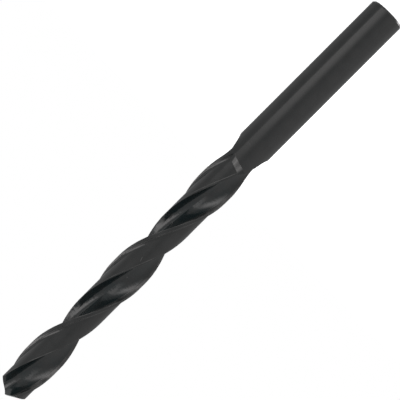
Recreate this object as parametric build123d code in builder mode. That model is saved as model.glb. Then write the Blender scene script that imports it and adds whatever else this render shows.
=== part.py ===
from build123d import *

import os
from math import asin, cos, degrees, radians, sin, sqrt, tan

# Two-flute twist drill with a plain cylindrical shank, ground from one round bar.
#
# The shank end stands on Z = 0 and +Z runs along the axis to the point. The two lips
# lie along X. Seen from the point the drill turns counter-clockwise as it cuts, so each
# land is led by its cutting corner, at the greater angle, and its heel trails behind.
# Sections of a flute or a land are drawn with the cutting corner on their own X axis.

# Bar and shank (all lengths in mm, all angles in degrees)
drill_diameter = 9.0  # across the margins at the point
shank_diameter = 8.95  # the margins taper back to this, so that they don't rub in the hole
overall_length = 125.0
shank_chamfer = 0.45

# Flutes
flute_length = 81.0  # point to where the flutes run out
helix_lead = 56.5  # axial length of one full turn
web_at_point = 1.7  # thickness of the core between the two flutes
web_at_shank = 2.5
heel_radius = 1.4  # flute bottom, on the side of the heel wall
heel_turn = 72.0  # how far that radius turns up into the heel wall
runout_length = 7.5  # over which the flute bottom rises to the bar's surface
runout_angle = 93.0  # of the wheel's way out, from the cutting corner towards the heel wall

# Lands
margin_width = 0.9  # full-diameter strip behind the cutting corner
margin_step_radius = 0.8  # hollow corner between the margin and the relieved land
body_diameter = 7.5  # across the relieved lands
body_length = 74.6  # point to the end of the relief, in the middle of a land
body_end_tilt = 19.0  # the end of the relief against a section square to the axis
body_end_ramp = 1.5  # axial length over which the relief rises to the full diameter

# Point: each flank is part of a cone, whose apex lies across the axis from its lip
point_angle = 132.0
flank_cone_angle = 40.0
flank_apex_across = 21.4  # from the drill's axis to the apex, square to the axis
flank_axis_ahead = 1.8  # from the lip to the plane of the cone's axis

# Sizes that follow
drill_radius = drill_diameter / 2
shank_radius = shank_diameter / 2
body_radius = body_diameter / 2
half_web = web_at_point / 2
lip_reach = sqrt(drill_radius**2 - half_web**2)
shank_length = overall_length - flute_length
web_growth = (web_at_shank - web_at_point) / flute_length
margin_turn = degrees(margin_width / drill_radius)

# The cutters stand out past the bar by these clearances
outside_bar = 1.4
above_point = 2.0
bar_allowance = 1.0  # ground off the bar's end with the point
outer_radius = drill_radius + outside_bar

# Lofted cutters run through sections this far apart
station_turn = 30.0
runout_stations = 8
runout_overtravel = 1.5


def polar(radius, angle):
    """Point at a radius and an angle from the X axis of a section."""
    return (radius * cos(radians(angle)), radius * sin(radians(angle)))


def flank_height(along_lip, ahead):
    """Height of a flank above its cone's apex, at a point given from the drill's axis."""
    tilt = radians((point_angle - flank_cone_angle) / 2)
    spread = cos(radians(flank_cone_angle / 2)) ** 2
    out = along_lip + flank_apex_across
    aside = ahead - half_web - flank_axis_ahead
    square = cos(tilt) ** 2 - spread
    linear = -out * sin(2 * tilt)
    rest = out**2 * (sin(tilt) ** 2 - spread) - spread * aside**2
    return (-linear - sqrt(linear**2 - 4 * square * rest)) / (2 * square)


def rake_angle(radius, web):
    """Angle of the rake face behind a straight lip, from the cutting corner's angle."""
    along_lip = sqrt(radius**2 - (web / 2) ** 2)
    corner_along = sqrt(drill_radius**2 - (web / 2) ** 2)
    rise = (corner_along - along_lip) / tan(radians(point_angle / 2))
    ahead = asin(web / 2 / radius) - asin(web / 2 / drill_radius)
    return degrees(ahead) - 360 * rise / helix_lead


corner_drop = flank_height(0, 0) - flank_height(lip_reach, half_web)
corner_angle = degrees(asin(half_web / drill_radius))
depth_angle = rake_angle(half_web, web_at_point)


def corner_turn(height):
    """Angle of the cutting corner at a height, such that the lips end along X."""
    return corner_angle + 360 * (height - overall_length + corner_drop) / helix_lead


def section_plane(height, lift=0.0):
    """Section square to the axis, turned with the helix and lifted out of a flute."""
    turn = corner_turn(height)
    origin = (*polar(lift, turn + runout_angle), height)
    return Plane(origin=origin, x_dir=(*polar(1, turn), 0), z_dir=(0, 0, 1))


def stations(start, end):
    """Heights of sections that lie no more than station_turn apart on the helix."""
    count = int(360 * (end - start) / helix_lead / station_turn) + 1
    return [start + (end - start) * step / count for step in range(count + 1)]


# The grinding wheel lifts ever faster along the heel wall, and its deepest point leaves the
# bar at flute_length. The corner's edge then swings round while the heel's stays.
runout_start = shank_length + runout_length
runout_depth = drill_radius - web_at_shank / 2

flute_sections = []
for step in range(runout_stations, 0, -1):
    travel = (runout_length + runout_overtravel) * step / runout_stations
    lift = runout_depth * (travel / runout_length) ** 2
    flute_sections.append((runout_start - travel, lift))
for height in stations(runout_start, overall_length + above_point):
    flute_sections.append((height, 0.0))

with BuildPart() as flute_cutter:
    for height, lift in flute_sections:
        web = web_at_point + web_growth * (overall_length - height)
        rake_radii = (outer_radius, drill_radius, 0.7 * drill_radius, 0.4 * drill_radius, web / 2)
        rake_points = [polar(radius, rake_angle(radius, web)) for radius in rake_radii]
        with BuildSketch(section_plane(height, lift)):
            with BuildLine():
                rake = Spline(*rake_points)
                heel = JernArc(rake @ 1, rake % 1, heel_radius, -heel_turn)
                wall = Line(heel @ 1, heel @ 1 + (heel % 1) * outer_radius)
                Polyline(wall @ 1, polar(2 * outer_radius, depth_angle), rake @ 0)
            make_face()
    loft()

# Relief of one land, from the margin's hollow step back past the heel into the next flute
relief_start = -margin_turn - degrees(asin(margin_step_radius / drill_radius))
relief_end = -100.0
relief_middle = (relief_start + relief_end) / 2
relief_foot = overall_length - body_length

with BuildPart() as relief_cutter:
    for height in stations(relief_foot - 3 * body_end_ramp, overall_length + above_point):
        with BuildSketch(section_plane(height)):
            with BuildLine():
                floor = ThreePointArc(
                    polar(body_radius, relief_end),
                    polar(body_radius, relief_middle),
                    polar(body_radius, relief_start),
                )
                step = JernArc(floor @ 1, polar(1, relief_start + 90), margin_step_radius, -90)
                rise = Line(step @ 1, step @ 1 + (step % 1) * outer_radius)
                Polyline(
                    rise @ 1,
                    polar(2 * outer_radius, relief_middle),
                    polar(2 * outer_radius, relief_end),
                    floor @ 0,
                )
            make_face()
    loft()

# The end of the relief climbs on a slope that follows the turn of the helix
stop_half_turn = 75.0
stop_sections = 7
ramp_slope = body_end_ramp / (drill_radius - body_radius)
stop_depth = 4 * body_end_ramp + body_radius

with BuildPart() as relief_stop:
    for step in range(stop_sections):
        aside = stop_half_turn * (2 * step / (stop_sections - 1) - 1)
        turn = corner_turn(relief_foot) + relief_middle + aside
        foot = relief_foot - tan(radians(body_end_tilt)) * body_radius * radians(aside)
        inner = body_radius / 2
        rise = ramp_slope * (body_radius - inner)
        fall = ramp_slope * (outer_radius + 1 - body_radius)
        square_plane = Plane(
            origin=(0, 0, foot), x_dir=(*polar(1, turn), 0), z_dir=(*polar(1, turn - 90), 0)
        )
        with BuildSketch(square_plane):
            with BuildLine():
                Polyline(
                    (inner, rise),
                    (outer_radius + 1, -fall),
                    (outer_radius + 1, -fall - stop_depth),
                    (inner, -fall - stop_depth),
                    close=True,
                )
            make_face()
    loft()

# A flank's cone, and the bar's end that is ground away around it
cone_apex = (-flank_apex_across, half_web + flank_axis_ahead, overall_length - flank_height(0, 0))
cone_tilt = (point_angle - flank_cone_angle) / 2
cone_height = 2 * (flank_apex_across + drill_diameter)
ground_depth = drill_diameter

with BuildPart() as flank_cutter:
    with Locations((0, 0, overall_length - ground_depth)):
        Cylinder(
            outer_radius,
            ground_depth + above_point,
            align=(Align.CENTER, Align.CENTER, Align.MIN),
        )
    with Locations(Location(cone_apex, (0, -cone_tilt, 0))):
        Cone(
            cone_height * tan(radians(flank_cone_angle / 2)),
            0,
            cone_height,
            align=(Align.CENTER, Align.CENTER, Align.MAX),
            mode=Mode.SUBTRACT,
        )

with BuildPart() as twist_drill:
    with BuildSketch(Plane.XZ):
        with BuildLine():
            Polyline(
                (0, 0),
                (shank_radius, 0),
                (shank_radius, shank_length),
                (drill_radius, overall_length + bar_allowance),
                (0, overall_length + bar_allowance),
                close=True,
            )
        make_face()
    revolve()
    chamfer(twist_drill.edges().group_by(Axis.Z)[0], shank_chamfer)
    with PolarLocations(0, 2):
        add(flute_cutter.part, mode=Mode.SUBTRACT)
        add(relief_cutter.part - relief_stop.part, mode=Mode.SUBTRACT)
        add(flank_cutter.part, mode=Mode.SUBTRACT)

os.makedirs("parts", exist_ok=True)
twist_drill.part.label = "twist_drill"
export_step(twist_drill.part, "parts/twist_drill.step")
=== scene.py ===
"""Studio scene of a straight-shank twist drill in black oxide, standing on its shank."""

import logging
from dataclasses import dataclass
from enum import Enum
from math import cos, radians, sin

import bpy
from mathutils import Matrix, Vector


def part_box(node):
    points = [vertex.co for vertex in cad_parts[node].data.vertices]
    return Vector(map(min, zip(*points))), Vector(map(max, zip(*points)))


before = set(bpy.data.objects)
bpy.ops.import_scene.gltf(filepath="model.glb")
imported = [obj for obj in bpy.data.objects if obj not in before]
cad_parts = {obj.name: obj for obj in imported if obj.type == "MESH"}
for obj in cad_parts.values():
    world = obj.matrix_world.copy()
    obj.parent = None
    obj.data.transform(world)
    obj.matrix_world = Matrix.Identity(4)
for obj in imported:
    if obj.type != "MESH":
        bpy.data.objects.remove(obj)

MM = 0.001
FULL_TURN = 360.0
LAND_SPACING = 180.0  # degrees from one land to the next
NOISE_MIDDLE = 0.5
SMALLEST = 1e-9  # keeps a divisor away from zero
WHITE = (1.0, 1.0, 1.0, 1.0)
NODE_NAME = "twist_drill"

Colour = tuple[float, float, float, float]
Triple = tuple[float, float, float]

log = logging.getLogger("drill_scene")


class Socket(Enum):
    """Kinds of socket on a node group."""

    FLOAT = "NodeSocketFloat"
    VECTOR = "NodeSocketVector"


class Blend(Enum):
    """What a Mix node mixes: its data type, and how the names of its sockets end."""

    COLOUR = ("RGBA", "Color")
    NUMBER = ("FLOAT", "Float")


class Tree:
    """Thin helper that adds nodes to a node tree, in rows, and links them."""

    row_length = 12
    column_width = 180
    row_height = 220

    def __init__(self, tree: bpy.types.NodeTree) -> None:
        """Keeps the tree to add to."""
        self.tree = tree
        self.count = 0

    def node(self, kind: str, **settings: object) -> bpy.types.Node:
        """Adds a node and sets its plain settings.

        Args:
            kind: The node's type name.
            **settings: Properties of the node, by name.

        Returns:
            The new node.
        """
        made = self.tree.nodes.new(kind)
        row, column = divmod(self.count, self.row_length)
        made.location = (column * self.column_width, -row * self.row_height)
        self.count += 1
        for name, value in settings.items():
            setattr(made, name, value)
        return made

    def put(self, target: bpy.types.NodeSocket, value: object) -> None:
        """Links a socket into another, or sets it to a constant.

        Args:
            target: The input socket.
            value: A socket, a constant, or None to leave the input alone.
        """
        if isinstance(value, bpy.types.NodeSocket):
            self.tree.links.new(value, target)
        elif value is not None:
            target.default_value = value

    def math(self, operation: str, *values: object, clamp: bool = False) -> bpy.types.NodeSocket:
        """Adds a Math node.

        Args:
            operation: The node's operation.
            *values: Its inputs, sockets or numbers.
            clamp: Whether the result is held between 0 and 1.

        Returns:
            The result socket.
        """
        made = self.node("ShaderNodeMath", operation=operation, use_clamp=clamp)
        for target, value in zip(made.inputs, values):
            self.put(target, value)
        return made.outputs[0]

    def vector(self, operation: str, first: object, second: object = None) -> bpy.types.Node:
        """Adds a Vector Math node.

        Args:
            operation: The node's operation.
            first: Its first vector.
            second: Its second vector, where the operation takes one.

        Returns:
            The new node.
        """
        made = self.node("ShaderNodeVectorMath", operation=operation)
        self.put(made.inputs[0], first)
        self.put(made.inputs[1], second)
        return made

    def ramp(self, value: object, low: float, high: float) -> bpy.types.NodeSocket:
        """Maps a value to the range from 0 to 1 with a smooth step.

        Args:
            value: The socket to map.
            low: Value that gives 0.
            high: Value that gives 1.

        Returns:
            The mapped socket.
        """
        made = self.node("ShaderNodeMapRange", interpolation_type="SMOOTHSTEP")
        self.put(made.inputs["Value"], value)
        self.put(made.inputs["From Min"], low)
        self.put(made.inputs["From Max"], high)
        return made.outputs["Result"]

    def noise(
        self, vector: object, scale: object, detail: float, layer_strength: float
    ) -> bpy.types.NodeSocket:
        """Adds a Noise texture.

        Args:
            vector: Where to read it.
            scale: Its frequency, for each metre.
            detail: Number of finer layers.
            layer_strength: Strength of each finer layer, as a share of the one before.

        Returns:
            The factor socket.
        """
        made = self.node("ShaderNodeTexNoise")
        self.put(made.inputs["Vector"], vector)
        self.put(made.inputs["Scale"], scale)
        self.put(made.inputs["Detail"], detail)
        self.put(made.inputs["Roughness"], layer_strength)
        return made.outputs["Fac"]

    def stretch(self, vector: object, scale: Triple) -> bpy.types.NodeSocket:
        """Scales a vector by axis with a Mapping node.

        Args:
            vector: The vector.
            scale: Scale along X, Y and Z.

        Returns:
            The scaled vector's socket.
        """
        made = self.node("ShaderNodeMapping")
        self.put(made.inputs["Vector"], vector)
        self.put(made.inputs["Scale"], scale)
        return made.outputs["Vector"]

    def mix(
        self, factor: object, first: object, second: object, kind: Blend = Blend.COLOUR
    ) -> bpy.types.NodeSocket:
        """Mixes two colours or two numbers.

        Args:
            factor: Share of the second one.
            first: What 0 gives.
            second: What 1 gives.
            kind: Whether they are colours or numbers.

        Returns:
            The mixed socket.
        """
        data_type, ending = kind.value
        made = self.node("ShaderNodeMix", data_type=data_type)
        sockets = {socket.identifier: socket for socket in (*made.inputs, *made.outputs)}
        self.put(sockets["Factor_Float"], factor)
        self.put(sockets[f"A_{ending}"], first)
        self.put(sockets[f"B_{ending}"], second)
        return sockets[f"Result_{ending}"]


def new_group(
    name: str, inputs: dict[str, Socket], outputs: dict[str, Socket]
) -> tuple[Tree, bpy.types.bpy_prop_collection, bpy.types.bpy_prop_collection]:
    """Makes an empty shader node group.

    Args:
        name: The group's name.
        inputs: Kind of each input, by name.
        outputs: Kind of each output, by name.

    Returns:
        The tree helper, the sockets that bring the inputs, and those that take the results.
    """
    group = bpy.data.node_groups.new(name, "ShaderNodeTree")
    for in_out, sockets in (("INPUT", inputs), ("OUTPUT", outputs)):
        for label, kind in sockets.items():
            group.interface.new_socket(label, in_out=in_out, socket_type=kind.value)
    tree = Tree(group)
    return tree, tree.node("NodeGroupInput").outputs, tree.node("NodeGroupOutput").inputs


def place_group(tree: Tree, name: str, **values: object) -> bpy.types.Node:
    """Places a node group in a tree and fills its inputs.

    Args:
        tree: The tree to place it in.
        name: The group's name.
        **values: Its inputs, by name with _ for each space.

    Returns:
        The group node.
    """
    made = tree.node("ShaderNodeGroup", node_tree=bpy.data.node_groups[name])
    for label, value in values.items():
        tree.put(made.inputs[label.replace("_", " ")], value)
    return made


@dataclass(frozen=True)
class HelixSpace:
    """Places on the drill given by its helix.

    The vector turns with the flutes, so that each flute runs straight in it. The land angle is how
    far a place lies behind the leading edge of its land, in degrees, and is the same on both lands.
    """

    name: str = "helix_space"

    def build(self) -> None:
        """Builds the node group."""
        inputs = {"Lead": Socket.FLOAT, "Height At Turn": Socket.FLOAT}
        outputs = {
            "Vector": Socket.VECTOR,
            "Radius": Socket.FLOAT,
            "Height": Socket.FLOAT,
            "Land Angle": Socket.FLOAT,
        }
        tree, asked, result = new_group(self.name, inputs, outputs)
        place = tree.node("ShaderNodeTexCoord").outputs["Object"]
        parts = tree.node("ShaderNodeSeparateXYZ")
        tree.put(parts.inputs["Vector"], place)
        across, aside, height = (parts.outputs[axis] for axis in "XYZ")
        risen = tree.math("SUBTRACT", height, asked["Height At Turn"])
        turn = tree.math("MULTIPLY", tree.math("DIVIDE", risen, asked["Lead"]), FULL_TURN)
        turned = tree.node("ShaderNodeVectorRotate", rotation_type="Z_AXIS")
        tree.put(turned.inputs["Vector"], place)
        tree.put(turned.inputs["Angle"], tree.math("RADIANS", tree.math("MULTIPLY", turn, -1.0)))
        own_turn = tree.math("DEGREES", tree.math("ARCTAN2", aside, across))
        behind = tree.math("FLOORED_MODULO", tree.math("SUBTRACT", turn, own_turn), LAND_SPACING)
        flat = tree.node("ShaderNodeCombineXYZ")
        tree.put(flat.inputs["X"], across)
        tree.put(flat.inputs["Y"], aside)
        tree.put(result["Vector"], turned.outputs["Vector"])
        tree.put(result["Radius"], tree.vector("LENGTH", flat.outputs["Vector"]).outputs["Value"])
        tree.put(result["Height"], height)
        tree.put(result["Land Angle"], behind)


@dataclass(frozen=True)
class WornLine:
    """A thin worn line that follows an edge of the lands, stronger in some places than in others."""

    name: str = "worn_line"
    full_share: float = 0.45  # of the half width that is worn in full
    patch_scale: float = 260.0
    patch_detail: float = 2.0
    patch_layer_strength: float = 0.5
    patch_start: float = 0.38
    patch_full: float = 0.62

    def build(self) -> None:
        """Builds the node group."""
        numbers = ("Land Angle", "Edge Angle", "Half Width", "Least")
        inputs = {label: Socket.FLOAT for label in numbers} | {"Vector": Socket.VECTOR}
        tree, asked, result = new_group(self.name, inputs, {"Mask": Socket.FLOAT})
        away = tree.math("ABSOLUTE", tree.math("SUBTRACT", asked["Land Angle"], asked["Edge Angle"]))
        away = tree.math("MINIMUM", away, tree.math("SUBTRACT", LAND_SPACING, away))
        line = tree.ramp(tree.math("DIVIDE", away, asked["Half Width"]), 1.0, self.full_share)
        patches = tree.noise(
            asked["Vector"], self.patch_scale, self.patch_detail, self.patch_layer_strength
        )
        patches = tree.ramp(patches, self.patch_start, self.patch_full)
        kept = tree.math("SUBTRACT", 1.0, asked["Least"])
        strength = tree.math("ADD", asked["Least"], tree.math("MULTIPLY", patches, kept))
        tree.put(result["Mask"], tree.math("MULTIPLY", line, strength))


@dataclass(frozen=True)
class MarkMask:
    """Share of a place that a nick, a speck or a scratch covers."""

    name: str = "mark_mask"
    full_share: float = 0.4  # of the half width that is covered in full

    def build(self) -> None:
        """Builds the node group."""
        vectors = ("Vector", "Start", "End")
        inputs = {label: Socket.VECTOR for label in vectors} | {"Half Width": Socket.FLOAT}
        tree, asked, result = new_group(self.name, inputs, {"Mask": Socket.FLOAT})
        along = tree.vector("SUBTRACT", asked["End"], asked["Start"]).outputs["Vector"]
        reach = tree.vector("SUBTRACT", asked["Vector"], asked["Start"]).outputs["Vector"]
        covered = tree.vector("DOT_PRODUCT", reach, along).outputs["Value"]
        whole = tree.vector("DOT_PRODUCT", along, along).outputs["Value"]
        share = tree.math("DIVIDE", covered, tree.math("MAXIMUM", whole, SMALLEST), clamp=True)
        nearest = tree.vector("SCALE", along)
        tree.put(nearest.inputs["Scale"], share)
        away = tree.vector("DISTANCE", reach, nearest.outputs["Vector"]).outputs["Value"]
        mask = tree.ramp(tree.math("DIVIDE", away, asked["Half Width"]), 1.0, self.full_share)
        tree.put(result["Mask"], mask)


@dataclass(frozen=True)
class OxideMottle:
    """Soft cloudy variation of a steam-blackened surface, with a few bare specks."""

    name: str = "oxide_mottle"
    cloud_detail: float = 4.0
    cloud_layer_strength: float = 0.6
    speck_edge: float = 0.16
    speck_core: float = 0.05

    def build(self) -> None:
        """Builds the node group."""
        numbers = ("Cloud Scale", "Speck Scale", "Speck Share")
        inputs = {"Vector": Socket.VECTOR} | {label: Socket.FLOAT for label in numbers}
        outputs = {"Cloud": Socket.FLOAT, "Speck": Socket.FLOAT}
        tree, asked, result = new_group(self.name, inputs, outputs)
        place = asked["Vector"]
        cloud = tree.noise(place, asked["Cloud Scale"], self.cloud_detail, self.cloud_layer_strength)
        cells = tree.node("ShaderNodeTexVoronoi", feature="F1")
        tree.put(cells.inputs["Vector"], place)
        tree.put(cells.inputs["Scale"], asked["Speck Scale"])
        tone = tree.node("ShaderNodeSeparateColor")
        tree.put(tone.inputs["Color"], cells.outputs["Color"])
        chosen = tree.math("LESS_THAN", tone.outputs["Red"], asked["Speck Share"])
        dot = tree.ramp(cells.outputs["Distance"], self.speck_edge, self.speck_core)
        tree.put(result["Cloud"], cloud)
        tree.put(result["Speck"], tree.math("MULTIPLY", chosen, dot))


@dataclass(frozen=True)
class DrillSizes:
    """Sizes of the drill that its finish follows, in metres and degrees."""

    height: float
    body_radius: float = 3.75 * MM
    lead: float = 56.5 * MM
    flute_length: float = 81.0 * MM
    body_length: float = 74.6 * MM
    turn_at_point: float = 21.6
    margin_angle: float = 11.5
    heel_angle: float = 82.6

    @property
    def shank_top(self) -> float:
        """Height at which the flutes run out into the shank."""
        return self.height - self.flute_length

    @property
    def relief_foot(self) -> float:
        """Height at which the relief of the lands ends."""
        return self.height - self.body_length

    @property
    def height_at_turn(self) -> float:
        """Height at which a leading edge would lie along X."""
        return self.height - self.turn_at_point / FULL_TURN * self.lead


@dataclass(frozen=True)
class Mark:
    """A nick, a speck or a scratch, from one place on the surface to another, in millimetres."""

    start: Triple
    end: Triple
    half_width: float
    bare: bool


@dataclass(frozen=True)
class LandEdge:
    """A worn edge of the lands: its land angle and half width in degrees, and its least wear."""

    angle: float
    half_width: float
    least: float


@dataclass(frozen=True)
class LandWear:
    """Edges of the lands where the oxide has worn thin, most of all at the heel by the shank."""

    drill: DrillSizes
    behind_cutting_edge: float = 0.7
    behind_margin: float = 0.6
    rubbed_full: float = 5.0 * MM  # above the foot of the relief, as the next two are
    rubbed_end: float = 9.0 * MM
    foot_fade: float = 2.0 * MM
    outside_start: float = 0.12 * MM  # under the outside of the body, as the next one is
    outside_full: float = 0.02 * MM

    @property
    def edges(self) -> tuple[LandEdge, ...]:
        """Worn edges that run along the whole of each land.

        Returns:
            The cutting edge, the back of the margin and the heel.
        """
        behind_margin = self.drill.margin_angle + self.behind_margin
        return (
            LandEdge(self.behind_cutting_edge, half_width=1.6, least=0.15),
            LandEdge(behind_margin, half_width=1.6, least=0.45),
            LandEdge(self.drill.heel_angle, half_width=1.5, least=0.0),
        )

    @property
    def rubbed_heel(self) -> LandEdge:
        """The heel near the foot of the relief."""
        return LandEdge(self.drill.heel_angle, half_width=1.8, least=1.0)

    def line(self, tree: Tree, space: bpy.types.Node, edge: LandEdge) -> bpy.types.NodeSocket:
        """Masks one worn edge along the whole drill.

        Args:
            tree: The material's tree.
            space: The helix space node.
            edge: The edge.

        Returns:
            The mask socket.
        """
        placed = place_group(
            tree,
            WornLine.name,
            Land_Angle=space.outputs["Land Angle"],
            Edge_Angle=edge.angle,
            Half_Width=edge.half_width,
            Least=edge.least,
            Vector=space.outputs["Vector"],
        )
        return placed.outputs["Mask"]

    def mask(self, tree: Tree, space: bpy.types.Node) -> bpy.types.NodeSocket:
        """Masks all the worn edges.

        Args:
            tree: The material's tree.
            space: The helix space node.

        Returns:
            The mask socket.
        """
        body, foot = self.drill.body_radius, self.drill.relief_foot
        height = space.outputs["Height"]
        worn: object = 0.0
        for edge in self.edges:
            worn = tree.math("MAXIMUM", worn, self.line(tree, space, edge))
        near_foot = tree.ramp(height, foot + self.rubbed_end, foot + self.rubbed_full)
        rubbed = tree.math("MULTIPLY", near_foot, self.line(tree, space, self.rubbed_heel))
        worn = tree.math("MAXIMUM", worn, rubbed)
        outside = tree.ramp(space.outputs["Radius"], body - self.outside_start, body - self.outside_full)
        relieved = tree.ramp(height, foot, foot + self.foot_fade)
        return tree.math("MULTIPLY", worn, tree.math("MULTIPLY", outside, relieved))


@dataclass(frozen=True)
class Grain:
    """A pattern in the fine relief of the ground surfaces, made by a noise texture.

    Its scale is for each metre, and its stretch scales it again along X, Y and Z, so that a small
    value draws it out along that axis. Its heights in the flutes and outside them are in
    millimetres. It turns with the flutes, or else keeps to the axis of the bar.
    """

    name: str
    scale: float
    layer_strength: float
    stretch: Triple | None = None
    flute_height: float = 0.0
    outside_height: float = 0.0
    turns: bool = True
    detail: float = 3.0


@dataclass(frozen=True)
class BlackOxide:
    """Black oxide on ground high-speed steel, with a thin film of oil."""

    drill: DrillSizes
    name: str = "black_oxide_steel"
    # The flutes' teal colours are the oxide's tone with painted shade tint: teal stands in for the colour
    # of the shade in these hollows.
    flute_shade_tint_deep: Colour = (0.0048, 0.0086, 0.0096, 1.0)
    flute_shade_tint_pale: Colour = (0.0085, 0.0102, 0.0106, 1.0)
    outside_deep: Colour = (0.006, 0.0074, 0.0077, 1.0)
    outside_pale: Colour = (0.009, 0.0102, 0.0105, 1.0)
    worn: Colour = (0.045, 0.045, 0.0444, 1.0)
    pit: Colour = (0.001, 0.001, 0.001, 1.0)
    reflected: Colour = (1.0, 0.965, 0.955, 1.0)
    refractive_index: float = 1.37
    roughness: float = 0.13
    roughness_change: float = 0.08
    cloud_scale: float = 420.0
    cloud_low: float = 0.32
    cloud_high: float = 0.68
    speck_scale: float = 800.0
    speck_share: float = 0.03
    speck_wear: float = 0.4
    shank_blend: float = 1.0 * MM
    flute_start: float = 0.05 * MM  # under the outside of the body, as the next one is
    flute_full: float = 0.2 * MM
    grains: tuple[Grain, ...] = (
        Grain("ripples", 1500.0, 0.55, stretch=(0.12, 0.12, 1.0), flute_height=0.024),
        Grain("clumps", 1700.0, 0.6, flute_height=0.010, outside_height=0.0012),
        Grain("flute_lay", 6000.0, 0.6, stretch=(1.0, 1.0, 0.08), flute_height=0.001),
        Grain("bar_lay", 5000.0, 0.6, stretch=(1.0, 1.0, 0.08), outside_height=0.0016, turns=False),
    )
    marks: tuple[Mark, ...] = (
        Mark((2.93, -2.33, 96.9), (2.97, -2.38, 96.7), half_width=0.26, bare=False),
        Mark((1.09, 0.02, 85.8), (1.09, 0.02, 85.8), half_width=0.2, bare=True),
        Mark((3.29, 1.80, 80.93), (3.11, 2.07, 79.95), half_width=0.1, bare=True),
        Mark((1.66, 1.64, 70.89), (-0.26, 1.14, 69.46), half_width=0.2, bare=True),
    )

    def flutes(self, tree: Tree, space: bpy.types.Node) -> bpy.types.NodeSocket:
        """Masks the flutes.

        Args:
            tree: The material's tree.
            space: The helix space node.

        Returns:
            The mask socket.
        """
        top, body = self.drill.shank_top, self.drill.body_radius
        above_shank = tree.ramp(space.outputs["Height"], top - self.shank_blend, top + self.shank_blend)
        inside = tree.ramp(space.outputs["Radius"], body - self.flute_start, body - self.flute_full)
        return tree.math("MULTIPLY", above_shank, inside)

    def marked(self, tree: Tree, place: bpy.types.NodeSocket, bare: bool) -> bpy.types.NodeSocket:
        """Masks the nicks, specks and scratches.

        Args:
            tree: The material's tree.
            place: Object coordinates.
            bare: Whether the light ones are asked for, or the dark ones.

        Returns:
            The mask socket.
        """
        mask: object = 0.0
        for mark in self.marks:
            if mark.bare is not bare:
                continue
            start, end = (Vector(point) * MM for point in (mark.start, mark.end))
            width = mark.half_width * MM
            one = place_group(tree, MarkMask.name, Vector=place, Start=start, End=end, Half_Width=width)
            mask = tree.math("MAXIMUM", mask, one.outputs["Mask"])
        return mask

    def relief(
        self, tree: Tree, space: bpy.types.Node, place: bpy.types.NodeSocket, in_flute: object
    ) -> bpy.types.NodeSocket:
        """Builds the fine relief of the ground surfaces.

        Args:
            tree: The material's tree.
            space: The helix space node.
            place: Object coordinates.
            in_flute: Mask of the flutes.

        Returns:
            The height socket, in millimetres.
        """
        flute: object = 0.0
        outside: object = 0.0
        for grain in self.grains:
            vector = space.outputs["Vector"] if grain.turns else place
            if grain.stretch:
                vector = tree.stretch(vector, grain.stretch)
            noise = tree.noise(vector, grain.scale, grain.detail, grain.layer_strength)
            noise.node.label = grain.name
            if grain.flute_height:
                flute = tree.math("ADD", flute, tree.math("MULTIPLY", noise, grain.flute_height))
            if grain.outside_height:
                outside = tree.math("ADD", outside, tree.math("MULTIPLY", noise, grain.outside_height))
        return tree.mix(in_flute, outside, flute, Blend.NUMBER)

    def build(self) -> bpy.types.Material:
        """Builds the material.

        Returns:
            The material.
        """
        made = bpy.data.materials.new(self.name)
        made.use_nodes = True
        made.node_tree.nodes.clear()
        tree = Tree(made.node_tree)
        drill = self.drill
        space = place_group(tree, HelixSpace.name, Lead=drill.lead, Height_At_Turn=drill.height_at_turn)
        place = tree.node("ShaderNodeTexCoord").outputs["Object"]
        in_flute = self.flutes(tree, space)
        mottle = place_group(
            tree,
            OxideMottle.name,
            Vector=place,
            Cloud_Scale=self.cloud_scale,
            Speck_Scale=self.speck_scale,
            Speck_Share=self.speck_share,
        )
        cloud = tree.ramp(mottle.outputs["Cloud"], self.cloud_low, self.cloud_high)
        # Painted shade tint: inside the flutes the oxide gets a teal tint that stands in for the shade in
        # the hollows, while outside it stays neutral.
        flute_oxide_and_shade_tint = tree.mix(cloud, self.flute_shade_tint_deep, self.flute_shade_tint_pale)
        outside_colour = tree.mix(cloud, self.outside_deep, self.outside_pale)
        colour = tree.mix(in_flute, outside_colour, flute_oxide_and_shade_tint)
        specks = tree.math("MULTIPLY", mottle.outputs["Speck"], self.speck_wear)
        bare = tree.math("MAXIMUM", specks, LandWear(drill).mask(tree, space))
        bare = tree.math("MAXIMUM", bare, self.marked(tree, place, bare=True))
        colour = tree.mix(bare, colour, self.worn)
        colour = tree.mix(self.marked(tree, place, bare=False), colour, self.pit)
        uneven = tree.math("SUBTRACT", mottle.outputs["Cloud"], NOISE_MIDDLE)
        uneven = tree.math("MULTIPLY", uneven, self.roughness_change)
        bump = tree.node("ShaderNodeBump")
        tree.put(bump.inputs["Strength"], 1.0)
        tree.put(bump.inputs["Distance"], 1.0 * MM)
        tree.put(bump.inputs["Height"], self.relief(tree, space, place, in_flute))
        shader = tree.node("ShaderNodeBsdfPrincipled")
        tree.put(shader.inputs["IOR"], self.refractive_index)
        tree.put(shader.inputs["Specular Tint"], self.reflected)
        tree.put(shader.inputs["Base Color"], colour)
        tree.put(shader.inputs["Roughness"], tree.math("ADD", self.roughness, uneven))
        tree.put(shader.inputs["Normal"], bump.outputs["Normal"])
        output = tree.node("ShaderNodeOutputMaterial")
        tree.put(output.inputs["Surface"], shader.outputs["BSDF"])
        return made


@dataclass
class TwistDrill:
    """The drill: one ground piece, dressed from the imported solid."""

    node: bpy.types.Object
    sizes: DrillSizes

    def dress(self) -> bpy.types.Object:
        """Gives the solid its finish.

        Returns:
            The dressed object.
        """
        material = BlackOxide(self.sizes).build()
        for slot in self.node.material_slots:
            slot.material = material
        log.info("%s: dressed in %s", NODE_NAME, material.name)
        return self.node


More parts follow.
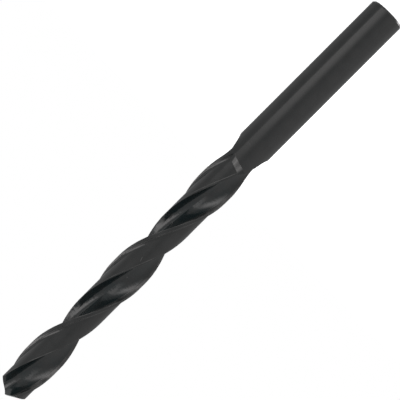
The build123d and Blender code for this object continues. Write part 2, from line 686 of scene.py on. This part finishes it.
@dataclass(frozen=True)
class SoftboxMask:
    """Share of a softbox that is seen in a direction."""

    name: str = "softbox_mask"
    least_ahead: float = 0.001
    blend_reach: float = 0.5  # of a blend's width, to each side of the softbox's edge

    def build(self) -> None:
        """Builds the node group."""
        numbers = ("Azimuth", "Elevation", "Roll", "Half Width", "Half Height")
        numbers += ("Right Blend", "Left Blend", "End Blend")
        inputs = {"Direction": Socket.VECTOR} | {label: Socket.FLOAT for label in numbers}
        tree, asked, result = new_group(self.name, inputs, {"Mask": Socket.FLOAT})
        facing = tree.node("ShaderNodeCombineXYZ")
        tree.put(facing.inputs["X"], tree.math("RADIANS", asked["Roll"]))
        tree.put(facing.inputs["Y"], tree.math("RADIANS", tree.math("MULTIPLY", asked["Elevation"], -1.0)))
        tree.put(facing.inputs["Z"], tree.math("RADIANS", asked["Azimuth"]))
        turned = tree.node("ShaderNodeVectorRotate", rotation_type="EULER_XYZ", invert=True)
        tree.put(turned.inputs["Vector"], asked["Direction"])
        tree.put(turned.inputs["Rotation"], facing.outputs["Vector"])
        parts = tree.node("ShaderNodeSeparateXYZ")
        tree.put(parts.inputs["Vector"], turned.outputs["Vector"])
        ahead = tree.math("MAXIMUM", parts.outputs["X"], self.least_ahead)
        aside = tree.math("DIVIDE", parts.outputs["Y"], ahead)
        above = tree.math("ABSOLUTE", tree.math("DIVIDE", parts.outputs["Z"], ahead))
        inside = (
            (tree.math("ADD", asked["Half Width"], aside), asked["Right Blend"]),
            (tree.math("SUBTRACT", asked["Half Width"], aside), asked["Left Blend"]),
            (tree.math("SUBTRACT", asked["Half Height"], above), asked["End Blend"]),
        )
        mask = tree.math("GREATER_THAN", parts.outputs["X"], self.least_ahead)
        for depth, blend in inside:
            share = tree.ramp(tree.math("DIVIDE", depth, blend), -self.blend_reach, self.blend_reach)
            mask = tree.math("MULTIPLY", mask, share)
        tree.put(result["Mask"], mask)


@dataclass(frozen=True)
class Softbox:
    """A rectangular softbox that faces the drill, or a black card where its radiance is below zero.

    Its direction and roll are in degrees: azimuth from +X towards +Y, elevation above the horizon.
    Its half width and half height are in metres at a distance of one metre, and so are the blends,
    the widths over which its right side, its left side and its two ends fade.
    """

    name: str
    azimuth: float
    elevation: float
    half_width: float
    half_height: float
    right_blend: float
    left_blend: float
    end_blend: float
    radiance: float
    roll: float = 0.0

    def mask(self, tree: Tree, direction: bpy.types.NodeSocket) -> bpy.types.NodeSocket:
        """Places the softbox's mask, labelled with its name.

        Args:
            tree: The world's tree.
            direction: Socket with the direction looked in.

        Returns:
            The mask socket.
        """
        placed = place_group(
            tree,
            SoftboxMask.name,
            Direction=direction,
            Azimuth=self.azimuth,
            Elevation=self.elevation,
            Roll=self.roll,
            Half_Width=self.half_width,
            Half_Height=self.half_height,
            Right_Blend=self.right_blend,
            Left_Blend=self.left_blend,
            End_Blend=self.end_blend,
        )
        placed.label = self.name
        return placed.outputs["Mask"]


@dataclass(frozen=True)
class Studio:
    """Pale floor in white surroundings, with softboxes and black cards around the drill."""

    floor_reach: float = 3.0
    floor_glow: float = 0.8
    floor_shade: Colour = (0.5, 0.5, 0.5, 1.0)
    ambient: float = 0.6
    least_light: float = 0.2
    softboxes: tuple[Softbox, ...] = (
        Softbox(
            "high_front", azimuth=52.5, elevation=33.0, roll=-24.9, half_width=0.39, half_height=0.18,
            right_blend=0.56, left_blend=0.64, end_blend=0.15, radiance=3.9,
        ),
        Softbox(
            "low_front", azimuth=59.0, elevation=-33.7, roll=29.9, half_width=0.41, half_height=0.13,
            right_blend=1.4, left_blend=1.1, end_blend=0.36, radiance=4.9,
        ),
        Softbox(
            "top", azimuth=38.0, elevation=58.0, half_width=0.44, half_height=0.125,
            right_blend=0.4, left_blend=0.12, end_blend=0.04, radiance=4.0,
        ),
        Softbox(
            "upper_left", azimuth=84.0, elevation=45.5, half_width=0.2, half_height=0.07,
            right_blend=0.15, left_blend=0.2, end_blend=0.08, radiance=3.4,
        ),
        Softbox(
            "upper_card", azimuth=37.0, elevation=46.0, half_width=0.17, half_height=0.065,
            right_blend=0.12, left_blend=0.16, end_blend=0.04, radiance=-2.6,
        ),
        Softbox(
            "shank_strip", azimuth=64.0, elevation=-7.0, half_width=0.344, half_height=0.08,
            right_blend=0.75, left_blend=0.05, end_blend=0.06, radiance=1.6,
        ),
        Softbox(
            "front_glow", azimuth=64.0, elevation=7.0, half_width=0.58, half_height=0.77,
            right_blend=0.9, left_blend=0.9, end_blend=0.2, radiance=0.15,
        ),
        Softbox(
            "right_side", azimuth=-31.0, elevation=-8.0, half_width=0.67, half_height=0.34,
            right_blend=1.6, left_blend=1.6, end_blend=0.4, radiance=0.38,
        ),
        Softbox(
            "left_card", azimuth=121.0, elevation=-28.0, half_width=1.0, half_height=0.3,
            right_blend=0.8, left_blend=0.8, end_blend=0.7, radiance=-0.5,
        ),
        Softbox(
            "back_card", azimuth=209.0, elevation=0.0, half_width=1.2, half_height=4.0,
            right_blend=3.2, left_blend=3.2, end_blend=1.0, radiance=-0.75,
        ),
        Softbox(
            "back_high", azimuth=248.0, elevation=38.0, roll=-10.0, half_width=0.32, half_height=0.2,
            right_blend=0.2, left_blend=0.2, end_blend=0.2, radiance=3.0,
        ),
        Softbox(
            "back_low", azimuth=248.0, elevation=-38.0, roll=10.0, half_width=0.32, half_height=0.16,
            right_blend=0.2, left_blend=0.2, end_blend=0.3, radiance=3.0,
        ),
    )

    def floor(self) -> bpy.types.Object:
        """Makes the floor, which looks white to the camera but keeps the drill's shadow.

        Returns:
            The floor object.
        """
        mesh = bpy.data.meshes.new("floor")
        reach = self.floor_reach
        square = [(-reach, -reach, 0), (reach, -reach, 0), (reach, reach, 0), (-reach, reach, 0)]
        mesh.from_pydata(square, [], [(0, 1, 2, 3)])
        made = bpy.data.objects.new("floor", mesh)
        made.visible_glossy = made.visible_diffuse = made.visible_shadow = False
        bpy.context.collection.objects.link(made)
        material = bpy.data.materials.new("floor_white")
        material.use_nodes = True
        material.node_tree.nodes.clear()
        tree = Tree(material.node_tree)
        glow = tree.node("ShaderNodeEmission")
        tree.put(glow.inputs["Strength"], self.floor_glow)
        shade = tree.node("ShaderNodeBsdfDiffuse")
        tree.put(shade.inputs["Color"], self.floor_shade)
        both = tree.node("ShaderNodeAddShader")
        tree.put(both.inputs[0], glow.outputs["Emission"])
        tree.put(both.inputs[1], shade.outputs["BSDF"])
        output = tree.node("ShaderNodeOutputMaterial")
        tree.put(output.inputs["Surface"], both.outputs["Shader"])
        mesh.materials.append(material)
        return made

    def strength(self, tree: Tree, path: bpy.types.Node) -> bpy.types.NodeSocket:
        """Adds up the light of the surroundings, the softboxes and the cards.

        Args:
            tree: The world's tree.
            path: The Light Path node.

        Returns:
            The strength socket.
        """
        direction = tree.node("ShaderNodeTexCoord").outputs["Generated"]
        mirrored = tree.math("MAXIMUM", path.outputs["Is Glossy Ray"], path.outputs["Is Transmission Ray"])
        total = tree.mix(mirrored, self.ambient, 1.0, Blend.NUMBER)
        for softbox in self.softboxes:
            added = tree.math("MULTIPLY", softbox.mask(tree, direction), softbox.radiance)
            total = tree.math("ADD", total, added)
        return tree.math("MAXIMUM", total, self.least_light)

    def world(self) -> None:
        """Makes the surroundings: plain white to the camera, with softboxes that only light the drill."""
        world = bpy.data.worlds.new("surroundings")
        world.use_nodes = True
        world.node_tree.nodes.clear()
        tree = Tree(world.node_tree)
        path = tree.node("ShaderNodeLightPath")
        choice = tree.node("ShaderNodeMixShader")
        tree.put(choice.inputs["Fac"], path.outputs["Is Camera Ray"])
        for target, strength in zip(choice.inputs[1:], (self.strength(tree, path), 1.0)):
            background = tree.node("ShaderNodeBackground")
            tree.put(background.inputs["Color"], WHITE)
            tree.put(background.inputs["Strength"], strength)
            tree.put(target, background.outputs["Background"])
        output = tree.node("ShaderNodeOutputWorld")
        tree.put(output.inputs["Surface"], choice.outputs["Shader"])
        bpy.context.scene.world = world

    def build(self) -> None:
        """Builds the whole studio."""
        self.floor()
        self.world()
        bpy.context.scene.view_settings.view_transform = "Standard"
        log.info("studio: floor, and %d softboxes and cards", len(self.softboxes))


@dataclass(frozen=True)
class ViewPoint:
    """The camera: square to the drill's axis, rolled so that the point is at the lower left.

    It stands at an azimuth in degrees from +X towards +Y. Its lengths are in metres, except the
    lens and the sensor, which are in millimetres.
    """

    azimuth: float = 29.0
    aim_height: float = 61.27 * MM
    distance: float = 428.8 * MM
    aside: float = -0.222 * MM
    lens: float = 166.5
    sensor_width: float = 36.0
    nearest: float = 0.01
    farthest: float = 20.0

    def place(self) -> None:
        """Makes the scene's camera."""
        turn = radians(self.azimuth)
        out = Vector((cos(turn), sin(turn), 0))
        across = Vector((sin(turn), -cos(turn), 0))
        down = Vector((0, 0, -1))
        right = (down + across).normalized()
        top = (down - across).normalized()
        data = bpy.data.cameras.new("camera")
        data.lens, data.sensor_width = self.lens, self.sensor_width
        data.clip_start, data.clip_end = self.nearest, self.farthest
        camera = bpy.data.objects.new("camera", data)
        stand = Vector((0, 0, self.aim_height)) + out * self.distance + across * self.aside
        axes = Matrix((right, top, out)).transposed()
        camera.matrix_world = Matrix.Translation(stand) @ axes.to_4x4()
        bpy.context.collection.objects.link(camera)
        bpy.context.scene.camera = camera
        log.info("camera: %.3f m from the drill's axis, at azimuth %.0f", self.distance, self.azimuth)


def main() -> None:
    """Builds the scene in order and reports each piece."""
    logging.basicConfig(level=logging.INFO)
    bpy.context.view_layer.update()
    low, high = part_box(NODE_NAME)
    sizes = DrillSizes(height=high.z - low.z)
    for group in (HelixSpace(), WornLine(), MarkMask(), OxideMottle(), SoftboxMask()):
        group.build()
    TwistDrill(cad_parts[NODE_NAME], sizes).dress()
    Studio().build()
    ViewPoint().place()


if __name__ == "__main__":
    main()
